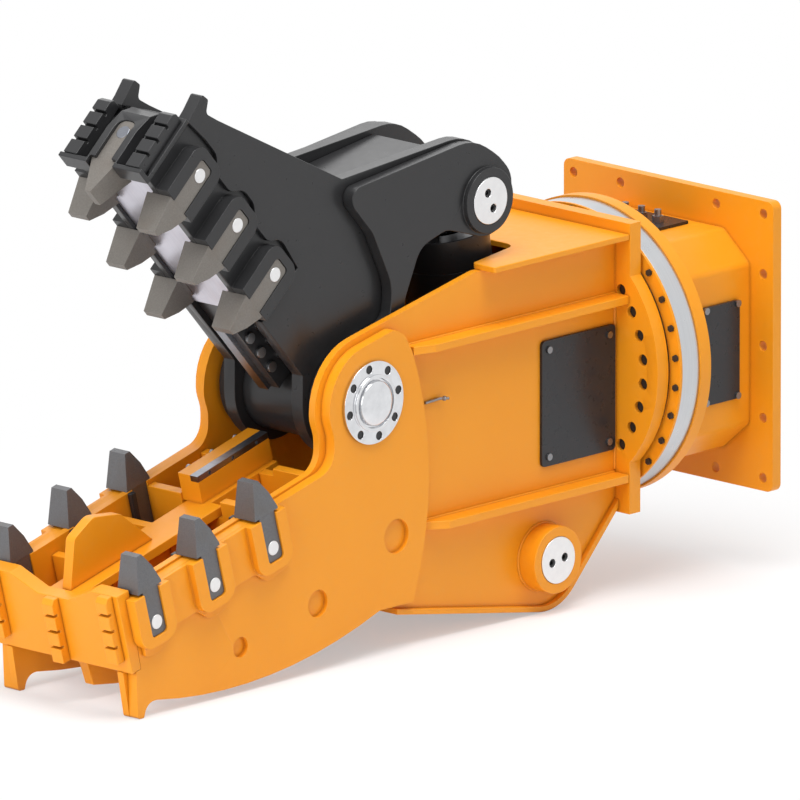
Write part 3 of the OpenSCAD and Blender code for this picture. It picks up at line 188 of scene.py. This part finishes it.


# The darker crease colour in each call is painted shade, laid where occlusion finds a step
orange_enamel = enamel("orange_gloss_enamel", main="#EE9A1B", drift="#E89214", dusty="#DDA04E",
                       crease_shade="#9A5A12", roughness=0.34, spread=0.14, peel_depth=0.12,
                       dust_amount=0.16)
black_enamel = enamel("black_satin_enamel", main="#2C2C2D", drift="#29292A", dusty="#454341",
                      crease_shade="#0E0E0F", roughness=0.27, spread=0.06, peel_depth=0.03,
                      dust_amount=0.07)
cover_enamel = enamel("cover_satin_enamel", main="#2B2C2F", drift="#27282A", dusty="#454442",
                      crease_shade="#101011", roughness=0.26, spread=0.06, peel_depth=0.03,
                      dust_amount=0.07)
print("paints:", orange_enamel.name, black_enamel.name, cover_enamel.name)

# %% [markdown]
# ## Bare steels
#
# The other finishes are metal. Cast teeth have a grainy skin and brown-grey patches. Ground
# faces, turned pins and turned rings have fine lines from the tool. A noise that is stretched
# along the lines draws them; for the teeth, one noise draws the casting grain and another the
# patches that the heat left.

# %% Cast and machined steel
def cast_steel(name, light, dark, brown, roughness):
    material, tree = new_material(name)
    place = add_node(tree, "ShaderNodeTexCoord").outputs["Object"]
    # 12 per metre gives 80 mm patches of heat colour
    patches = add_node(tree, "ShaderNodeTexNoise", values={"Scale": 12.0, "Detail": 4.0},
                       links={"Vector": place})
    # 260 per metre is the 4 mm grain of a sand casting
    grain = add_node(tree, "ShaderNodeTexNoise",
                     values={"Scale": 260.0, "Detail": 4.0, "Roughness": 0.6},
                     links={"Vector": place})
    grey = add_node(tree, "ShaderNodeMix", {"data_type": "RGBA"},
                    {6: linear(dark), 7: linear(light)}, {0: grain.outputs["Fac"]})
    heat = add_node(tree, "ShaderNodeMapRange",
                    values={"From Min": 0.5, "From Max": 0.75, "To Max": 0.55},
                    links={"Value": patches.outputs["Fac"]})
    skin = add_node(tree, "ShaderNodeMix", {"data_type": "RGBA"}, {7: linear(brown)},
                    {0: heat.outputs["Result"], 6: grey.outputs[2]})
    bump = add_node(tree, "ShaderNodeBump", values={"Strength": 0.35, "Distance": 0.0012},
                    links={"Height": grain.outputs["Fac"]})
    shader = add_node(tree, "ShaderNodeBsdfPrincipled",
                      values={"Metallic": 0.75, "Roughness": roughness},
                      links={"Base Color": skin.outputs[2], "Normal": bump.outputs["Normal"]})
    add_node(tree, "ShaderNodeOutputMaterial", links={"Surface": shader.outputs["BSDF"]})
    return material


def machined_steel(name, light, dark, roughness, stretch, depth):
    material, tree = new_material(name)
    place = add_node(tree, "ShaderNodeTexCoord").outputs["Object"]
    squeezed = add_node(tree, "ShaderNodeMapping", values={"Scale": stretch},
                        links={"Vector": place})
    # 650 to 700 per metre draws tool marks 1.5 mm apart; real ones are finer and wouldn't show
    marks = add_node(tree, "ShaderNodeTexNoise", values={"Scale": 1.0, "Detail": 2.0},
                     links={"Vector": squeezed.outputs["Vector"]})
    # 18 per metre is the 55 mm haze that hands and oil leave
    haze = add_node(tree, "ShaderNodeTexNoise", values={"Scale": 18.0, "Detail": 4.0},
                    links={"Vector": place})
    tone = add_node(tree, "ShaderNodeMix", {"data_type": "RGBA"},
                    {6: linear(dark), 7: linear(light)}, {0: marks.outputs["Fac"]})
    gloss = add_node(tree, "ShaderNodeMapRange",
                     values={"From Min": 0.3, "From Max": 0.7,
                             "To Min": roughness, "To Max": roughness + 0.12},
                     links={"Value": haze.outputs["Fac"]})
    bump = add_node(tree, "ShaderNodeBump", values={"Strength": depth, "Distance": 0.0003},
                    links={"Height": marks.outputs["Fac"]})
    shader = add_node(tree, "ShaderNodeBsdfPrincipled", values={"Metallic": 1.0},
                      links={"Base Color": tone.outputs[2], "Roughness": gloss.outputs["Result"],
                             "Normal": bump.outputs["Normal"]})
    add_node(tree, "ShaderNodeOutputMaterial", links={"Surface": shader.outputs["BSDF"]})
    return material


tooth_steel = cast_steel("cast_tooth_steel", "#7B7B7D", "#606062", "#6B6660", 0.5)
upper_tooth_steel = cast_steel("warm_tooth_steel", "#8C8781", "#6E6A65", "#786F66", 0.5)
# name, light and dark tone, roughness, marks per metre along X, Y and Z, depth of the marks
ring_steel = machined_steel("turned_ring_steel", "#D2D4D6", "#BDBFC2", 0.26, (650, 12, 12), 0.2)
pin_steel = machined_steel("turned_pin_steel", "#EDEDED", "#E0E0E1", 0.34, (60, 700, 60), 0.08)
bed_steel = machined_steel("ground_bed_steel", "#DAD8E0", "#C0BEC9", 0.30, (12, 650, 12), 0.2)
blade_steel = machined_steel("ground_blade_steel", "#9A9DA4", "#777A82", 0.28, (10, 10, 700), 0.25)
zinc_steel = machined_steel("zinc_plated_steel", "#9A9B9D", "#808184", 0.34, (250, 250, 250), 0.1)
chrome_steel = machined_steel("polished_chrome", "#E8E9EB", "#CDCED1", 0.06, (40, 40, 40), 0.03)
bronze = machined_steel("turned_bronze", "#B58A4E", "#8F6B3A", 0.36, (60, 700, 60), 0.2)
print("steels:", tooth_steel.name, ring_steel.name, pin_steel.name)

# %% [markdown]
# ## Softened plate edges
#
# Flame-cut plates have a small chamfer, and paint runs round it, so every edge catches a thin
# highlight. The CAD solids have knife edges. A copy of the node's mesh is merged, its flat
# triangles are dissolved, and its sharp edges get a two-step bevel. The copy then stands in
# for the node. The CAD mesh itself is never touched.

# %% Soften a CAD node
body_with = {node: body for body, nodes in frame["record"]["behaviour"]["bodies"].items()
             for node in nodes}
merge_distance = 0.000004
flat_angle = math.radians(0.4)
sharp_angle = math.radians(28.0)


def soften(node_name, width, material):
    source = frame["nodes"][node_name]
    mesh = bmesh.new()
    mesh.from_mesh(source.data)
    bmesh.ops.remove_doubles(mesh, verts=mesh.verts, dist=merge_distance)
    bmesh.ops.dissolve_limit(mesh, angle_limit=flat_angle, verts=mesh.verts, edges=mesh.edges)
    mesh.normal_update()
    data = bpy.data.meshes.new(node_name + "_soft")
    mesh.to_mesh(data)
    mesh.free()
    piece = bpy.data.objects.new(node_name + "_soft", data)
    scene.collection.objects.link(piece)
    data.materials.clear()
    data.materials.append(material)
    for face in data.polygons:
        face.use_smooth = True
        face.material_index = 0
    data.set_sharp_from_angle(angle=sharp_angle)
    edge = piece.modifiers.new("edge", "BEVEL")
    edge.width = width
    edge.segments = 2
    edge.limit_method = "ANGLE"
    edge.angle_limit = sharp_angle
    edge.miter_outer = "MITER_ARC"
    edge.harden_normals = True
    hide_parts(node_name)
    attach(piece, body_with[node_name])
    return piece


print("nodes that ride a body:", len(body_with))

# %% [markdown]
# ## Which edges are softened, and how much
#
# A flame-cut plate gets about 2 mm, a casting 3 mm, and turned or ground steel 1 to 2 mm. Each
# line of the list below names a finish, the width of its edges in metres, and its nodes. The
# front tooth's pin sits deep in the nose and is drawn a darker grey than the others, so its
# faces, which are those near the middle of the jaw, get a second finish.

# %% Soften the plates, castings and turned parts
plate_edge = 0.0022
cast_edge = 0.003
cap_edge = 0.002
turned_edge = 0.0015
ground_edge = 0.001
soft_nodes = [
    (orange_enamel, plate_edge,
     ["mounting_plate", "bracket_box", "bracket_disk", "bolt_ring", "rear_flange", "side_plates",
      "top_plate", "bottom_plate", "side_ribs", "cheek_plates", "base_pin_bosses",
      "lower_front_plate", "lower_front_strips", "centre_rib", "cross_ribs", "centre_fin",
      "blade_seat", "lower_wear_plates"]),
    (black_enamel, plate_edge,
     ["slew_motor", "jaw_plates", "arm_plates", "jaw_top_cover", "pivot_tube",
      "upper_front_plate", "upper_front_strips", "upper_wear_plates", "blade_holder",
      "cylinder_barrel", "cylinder_gland", "tooth_guides"]),
    (cover_enamel, turned_edge, ["bracket_covers", "inspection_covers"]),
    (tooth_steel, cast_edge, ["lower_teeth"]),
    (upper_tooth_steel, cast_edge, ["upper_teeth", "front_tooth"]),
    (pin_steel, turned_edge,
     ["main_pin", "base_pin", "arm_pin", "lower_tooth_pins", "upper_tooth_pins"]),
    (ring_steel, ground_edge, ["outer_race", "inner_race", "swivel_housing", "swivel_rotor"]),
    (blade_steel, ground_edge, ["upper_blade", "lower_blade"]),
    (bed_steel, turned_edge, ["jaw_bed_plate"]),
    (chrome_steel, cap_edge, ["pin_caps"]),
    (chrome_steel, turned_edge, ["piston_rod"]),
    (bronze, ground_edge, ["pivot_bushes"])]
softened = {name: soften(name, edge, finish)
            for finish, edge, names in soft_nodes for name in names}

front_pin_reach = 0.03
jaw_pins = softened["upper_tooth_pins"].data
jaw_pins.materials.append(blade_steel)
for face in jaw_pins.polygons:
    if abs(face.center.y) < front_pin_reach:
        face.material_index = 1
print("softened nodes:", len(softened))

# %% [markdown]
# ## Materials on the nodes that stay
#
# Small screws, balls and fittings keep their CAD shape. They only need their finish.

# %% Finish the remaining nodes
plain_finish = {"bracket_cover_screws": zinc_steel, "bracket_fittings": zinc_steel,
                "ring_bolts": black_enamel, "flange_bolts": black_enamel, "cap_bolts": black_enamel,
                "cover_screws": zinc_steel, "lower_blade_bolts": zinc_steel,
                "upper_blade_bolts": zinc_steel, "slew_balls": chrome_steel, "pinion": pin_steel}
for name, material in plain_finish.items():
    node = frame["nodes"][name]
    for slot in node.material_slots:
        slot.material = material
print("nodes that keep their shape:", len(plain_finish))

# %% [markdown]
# ## Weld beads
#
# The body is welded from thick plate, and each joint carries a bead about 8 mm wide with the
# small ripples that the welder's steps leave. A bevelled curve is the simplest way to lay one:
# its points follow the joint, and every other point is a little thinner, which makes the
# ripples in the mesh itself. The beads are sprayed with the plates, so they share their paint.

# %% Lay a bead along a joint
ripple_step = 0.005
thin_step = 0.86
chord = 0.02


def weld_bead(name, corners, radius, body, material):
    points = []
    for first, last in zip(corners, corners[1:]):
        first, last = Vector(first), Vector(last)
        count = max(1, round((last - first).length / ripple_step))
        points += [first.lerp(last, step / count) for step in range(count)]
    points.append(Vector(corners[-1]))
    curve = bpy.data.curves.new(name, "CURVE")
    curve.dimensions = "3D"
    curve.bevel_depth = radius
    curve.bevel_resolution = 1
    curve.use_fill_caps = True
    line = curve.splines.new("POLY")
    line.points.add(len(points) - 1)
    for number, (spot, point) in enumerate(zip(line.points, points)):
        spot.co = (*point, 1.0)
        spot.radius = 1.0 if number % 2 else thin_step
    curve.materials.append(material)
    bead = bpy.data.objects.new(name, curve)
    scene.collection.objects.link(bead)
    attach(bead, body)
    return bead


def circle(x, z, radius, y):
    count = round(radius * math.tau / chord)
    angles = [math.tau * step / count for step in range(count + 1)]
    return [(x + radius * math.cos(angle), y, z + radius * math.sin(angle)) for angle in angles]


print("a bead's ripples are", ripple_step * 2, "m apart")

# %% Lay the beads on both sides of the body
side_face = 0.201
# Each rib's height, and the X of its front end
rib_rows = {"upper": (0.179, -1.205), "lower": (-0.283, -1.152)}
rib_half = 0.011
flange_face = -0.4405
flange_joint = (-0.265, 0.165)
base_pin_x, base_pin_z = -0.707, -0.443
boss_radius = 0.0865
rib_bead, boss_bead, flange_bead = 0.004, 0.0045, 0.005
beads = 0
for side, far in {"near": -1, "far": 1}.items():
    face = far * side_face
    for row, (height, front) in rib_rows.items():
        for edge, offset in {"top": rib_half, "bottom": -rib_half}.items():
            weld_bead(f"weld_{row}_rib_{edge}_{side}",
                      [(flange_face, face, height + offset), (front, face, height + offset)],
                      rib_bead, "frame", orange_enamel)
            beads += 1
    weld_bead(f"weld_base_boss_{side}", circle(base_pin_x, base_pin_z, boss_radius, face),
              boss_bead, "frame", orange_enamel)
    weld_bead(f"weld_flange_{side}", [(flange_face, face, height) for height in flange_joint],
              flange_bead, "frame", orange_enamel)
    beads += 2
print("weld beads:", beads)

# %% [markdown]
# ## Screws in the pin ends
#
# Each link pin is kept from turning by two black socket screws, sunk in holes in its ends. A
# screw starts as one disc. Two insets give it a chamfer and the rim of its socket, and the
# middle face is pushed in.

# %% Make one socket screw
screw_radius = 0.0102
screw_height = 0.007
socket_radius = 0.0062
socket_depth = 0.005
screw_chamfer = 0.001


def facing_out(place, outward):
    return Matrix.Translation(place) @ Matrix.Rotation(outward * math.pi / -2, 4, "X")


def socket_screw(name, x, y, z, outward, body):
    mesh = bmesh.new()
    bmesh.ops.create_circle(mesh, cap_ends=True, segments=24, radius=screw_radius)
    top = next(iter(mesh.faces))
    rim = bmesh.ops.extrude_face_region(mesh, geom=[top])
    raised = [item for item in rim["geom"] if isinstance(item, bmesh.types.BMVert)]
    bmesh.ops.translate(mesh, verts=raised, vec=(0, 0, screw_height))
    lid = next(item for item in rim["geom"] if isinstance(item, bmesh.types.BMFace))
    bmesh.ops.inset_region(mesh, faces=[lid], thickness=screw_chamfer, depth=screw_chamfer)
    bmesh.ops.inset_region(mesh, faces=[lid],
                           thickness=screw_radius - screw_chamfer - socket_radius)
    bmesh.ops.inset_region(mesh, faces=[lid], thickness=0.0004, depth=-socket_depth)
    bmesh.ops.recalc_face_normals(mesh, faces=mesh.faces)
    bmesh.ops.transform(mesh, verts=mesh.verts, matrix=facing_out((x, y, z), outward))
    data = bpy.data.meshes.new(name)
    mesh.to_mesh(data)
    mesh.free()
    data.materials.append(black_enamel)
    screw = bpy.data.objects.new(name, data)
    scene.collection.objects.link(screw)
    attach(screw, body)
    return screw


print("screw radius", screw_radius, "m")

# %% Sink the screws in the ends of both pins
screw_from_centre = 0.023
screw_sink = 0.0135
# Each pin's centre, its end's distance from the middle, the tilt of its screws, and its body
pin_ends = {"base": (base_pin_x, base_pin_z, 0.260, math.radians(10), "frame"),
            "arm": (-0.879, 0.501, 0.188, math.radians(115), "upper_jaw")}
screws = 0
for pin, (x, z, end, tilt, body) in pin_ends.items():
    for side, far in {"near": -1, "far": 1}.items():
        for place, sign in {"low": -1, "high": 1}.items():
            socket_screw(f"{pin}_pin_screw_{side}_{place}",
                         x + sign * screw_from_centre * math.cos(tilt), far * (end - screw_sink),
                         z + sign * screw_from_centre * math.sin(tilt), far, body)
            screws += 1
print("pin screws:", screws)

# %% [markdown]
# ## Grease pipes
#
# A thin steel pipe brings grease to the main pin from behind each cheek plate. It lies on the
# side plate and ends in a small nipple. The nipple is turned like the real one: a profile of
# radius and height goes once round with a spin. The pipe is a bevelled curve, as the beads are.

# %% A lathe for turned pieces
def lathe(name, profile, place, material, body):
    mesh = bmesh.new()
    corners = [mesh.verts.new((radius, 0, height)) for radius, height in profile]
    line = [mesh.edges.new(pair) for pair in zip(corners, corners[1:])]
    bmesh.ops.spin(mesh, geom=corners + line, cent=(0, 0, 0), axis=(0, 0, 1), angle=math.tau,
                   steps=32, use_merge=True)
    bmesh.ops.remove_doubles(mesh, verts=mesh.verts, dist=0.000005)
    bmesh.ops.recalc_face_normals(mesh, faces=mesh.faces)
    bmesh.ops.transform(mesh, verts=mesh.verts, matrix=place)
    data = bpy.data.meshes.new(name)
    mesh.to_mesh(data)
    mesh.free()
    for face in data.polygons:
        face.use_smooth = True
    data.set_sharp_from_angle(angle=math.radians(32))
    data.materials.append(material)
    turned = bpy.data.objects.new(name, data)
    scene.collection.objects.link(turned)
    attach(turned, body)
    return turned


print("lathe ready, 32 steps round")

# %% Lay the grease pipes
pipe_radius = 0.0035
pipe_y = 0.2055
route = [(-1.136, pipe_y, 0.030), (-1.110, pipe_y, 0.031), (-1.092, pipe_y, 0.032),
         (-1.084, pipe_y + 0.003, 0.033), (-1.078, pipe_y + 0.010, 0.034)]
nipple_foot = (-1.0805, pipe_y + 0.009, 0.034)
nipple_profile = [(0, 0), (0.0062, 0), (0.0062, 0.006), (0.004, 0.0075), (0.0028, 0.011),
                  (0.0038, 0.013), (0.003, 0.016), (0, 0.0165)]
for side, far in {"near": -1, "far": 1}.items():
    curve = bpy.data.curves.new(f"grease_pipe_{side}", "CURVE")
    curve.dimensions = "3D"
    curve.bevel_depth = pipe_radius
    curve.bevel_resolution = 3
    curve.use_fill_caps = True
    line = curve.splines.new("POLY")
    line.points.add(len(route) - 1)
    for spot, (x, y, z) in zip(line.points, route):
        spot.co = (x, far * y, z, 1)
    curve.materials.append(zinc_steel)
    pipe = bpy.data.objects.new(f"grease_pipe_{side}", curve)
    scene.collection.objects.link(pipe)
    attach(pipe, "frame")
    aim = Vector((0.4, far, 0.1)).normalized().to_track_quat("Z", "Y").to_matrix().to_4x4()
    x, y, z = nipple_foot
    lathe(f"grease_nipple_{side}", nipple_profile, Matrix.Translation((x, far * y, z)) @ aim,
          zinc_steel, "frame")
print("grease pipes on both sides at height", route[0][2])

# %% [markdown]
# ## Domed centres of the pin caps
#
# The chrome caps over the main pin bulge a little in the middle, which bends their
# reflections. The dome is another turned profile, laid on the flat cap inside its groove.

# %% Turn the cap domes
dome_radius = 0.0565
dome_height = 0.009
dome_steps = 8
dome_rim = 0.001
main_pin_x, main_pin_z = -1.356, 0.076
cap_face = 0.247
dome_profile = [(0, -dome_rim), (dome_radius, -dome_rim), (dome_radius, dome_rim)]
for step in range(1, dome_steps):
    rise = math.pi / 2 * step / dome_steps
    dome_profile.append((dome_radius * math.cos(rise), dome_rim + dome_height * math.sin(rise)))
dome_profile.append((0, dome_rim + dome_height))
for side, far in {"near": -1, "far": 1}.items():
    lathe(f"cap_dome_{side}", dome_profile,
          facing_out((main_pin_x, far * cap_face, main_pin_z), far), chrome_steel, "frame")
print("cap domes stand", dome_height, "m proud")

# %% [markdown]
# ## The floor
#
# The background of the photograph is plain white. The floor is a pale matt sheet that fades to
# pure white away from the tool, so its edge never shows but the soft shadow stays. The fade is
# a distance from the tool's middle, worked out from Object coordinates, and it mixes in an
# emission that only camera and mirror rays see, so the sheet doesn't light the tool.

# %% Lay the floor
floor_gap = 0.001
floor_half = 60
middle_x = -1.1
floor_z = cad_box[0][2] - floor_gap
floor_mesh = bmesh.new()
bmesh.ops.create_grid(floor_mesh, x_segments=1, y_segments=1, size=floor_half)
bmesh.ops.translate(floor_mesh, verts=floor_mesh.verts, vec=(middle_x, 0, floor_z))
floor_data = bpy.data.meshes.new("studio_floor")
floor_mesh.to_mesh(floor_data)
floor_mesh.free()
floor = bpy.data.objects.new("studio_floor", floor_data)
scene.collection.objects.link(floor)
print("floor height:", round(floor_z, 4))

# %% Paint the floor
# The sheet glows a little for the camera even under the tool, which keeps the shadow pale
glow_near = 0.4
floor_paint, tree = new_material("pale_floor")
place = add_node(tree, "ShaderNodeTexCoord").outputs["Object"]
# 0.38 shrinks 2.6 m to 1, and 0.42 puts the tool's middle at 0
centred = add_node(tree, "ShaderNodeMapping",
                   values={"Location": (0.42, 0, 0), "Scale": (0.38, 0.38, 0.0)},
                   links={"Vector": place})
away = add_node(tree, "ShaderNodeVectorMath", {"operation": "LENGTH"},
                links={0: centred.outputs["Vector"]})
fade = add_node(tree, "ShaderNodeMapRange", {"interpolation_type": "SMOOTHSTEP"},
                {"From Min": 0.25, "From Max": 0.85, "To Min": glow_near},
                {"Value": away.outputs["Value"]})
matt = add_node(tree, "ShaderNodeBsdfDiffuse", values={"Color": (0.9, 0.9, 0.9, 1)})
white = add_node(tree, "ShaderNodeEmission", values={"Strength": 1.0})
ray = add_node(tree, "ShaderNodeLightPath")
seen = add_node(tree, "ShaderNodeMath", {"operation": "MAXIMUM"},
                links={0: ray.outputs["Is Camera Ray"], 1: ray.outputs["Is Glossy Ray"]})
share = add_node(tree, "ShaderNodeMath", {"operation": "MULTIPLY"},
                 links={0: fade.outputs["Result"], 1: seen.outputs["Value"]})
surface = add_node(tree, "ShaderNodeMixShader",
                   links={0: share.outputs["Value"], 1: matt.outputs["BSDF"],
                          2: white.outputs["Emission"]})
add_node(tree, "ShaderNodeOutputMaterial", links={"Surface": surface.outputs["Shader"]})
floor_data.materials.append(floor_paint)
print("share of glow under the tool:", glow_near)

# %% [markdown]
# ## The light
#
# The world gives camera, mirror and glass rays plain white, and lights the scene with a softer
# grey. Three large square lamps do the rest: a strong one above and a little to the front left,
# a weaker one in front of the jaws, and a faint one behind. Their size keeps the shadows soft.

# %% White world
world = bpy.data.worlds.new("studio")
world.use_nodes = True
scene.world = world
tree = world.node_tree
tree.nodes.clear()
ray = add_node(tree, "ShaderNodeLightPath")
mirror = add_node(tree, "ShaderNodeMath", {"operation": "MAXIMUM"},
                  links={0: ray.outputs["Is Glossy Ray"], 1: ray.outputs["Is Transmission Ray"]})
seen = add_node(tree, "ShaderNodeMath", {"operation": "MAXIMUM"},
                links={0: ray.outputs["Is Camera Ray"], 1: mirror.outputs["Value"]})
soft = add_node(tree, "ShaderNodeBackground",
                values={"Color": (0.95, 0.97, 1.0, 1), "Strength": 0.50})
plain = add_node(tree, "ShaderNodeBackground", values={"Color": (1, 1, 1, 1), "Strength": 1.0})
sky = add_node(tree, "ShaderNodeMixShader",
               links={0: seen.outputs["Value"], 1: soft.outputs["Background"],
                      2: plain.outputs["Background"]})
add_node(tree, "ShaderNodeOutputWorld", links={"Surface": sky.outputs["Shader"]})
print("world:", world.name)

# %% Three soft lamps
lamp_size = 4.0
lamp_distance = 6.0


def soft_lamp(name, power, direction):
    data = bpy.data.lights.new(name, "AREA")
    data.size = lamp_size
    data.energy = power
    lamp = bpy.data.objects.new(name, data)
    away = Vector(direction).normalized()
    lamp.matrix_world = (Matrix.Translation(Vector((middle_x, 0, 0)) + away * lamp_distance)
                         @ away.to_track_quat("Z", "Y").to_matrix().to_4x4())
    scene.collection.objects.link(lamp)


soft_lamp("key_above", 360, (-0.15, -0.3, 1.2))
soft_lamp("fill_from_jaws", 150, (-1.0, -0.1, 0.3))
soft_lamp("rim_from_behind", 40, (0.4, 0.7, 0.7))
scene.view_settings.view_transform = "Standard"
print("lamps:", [lamp.name for lamp in bpy.data.lights])

# %% Print the CAD box
print("CAD box", cad_box)
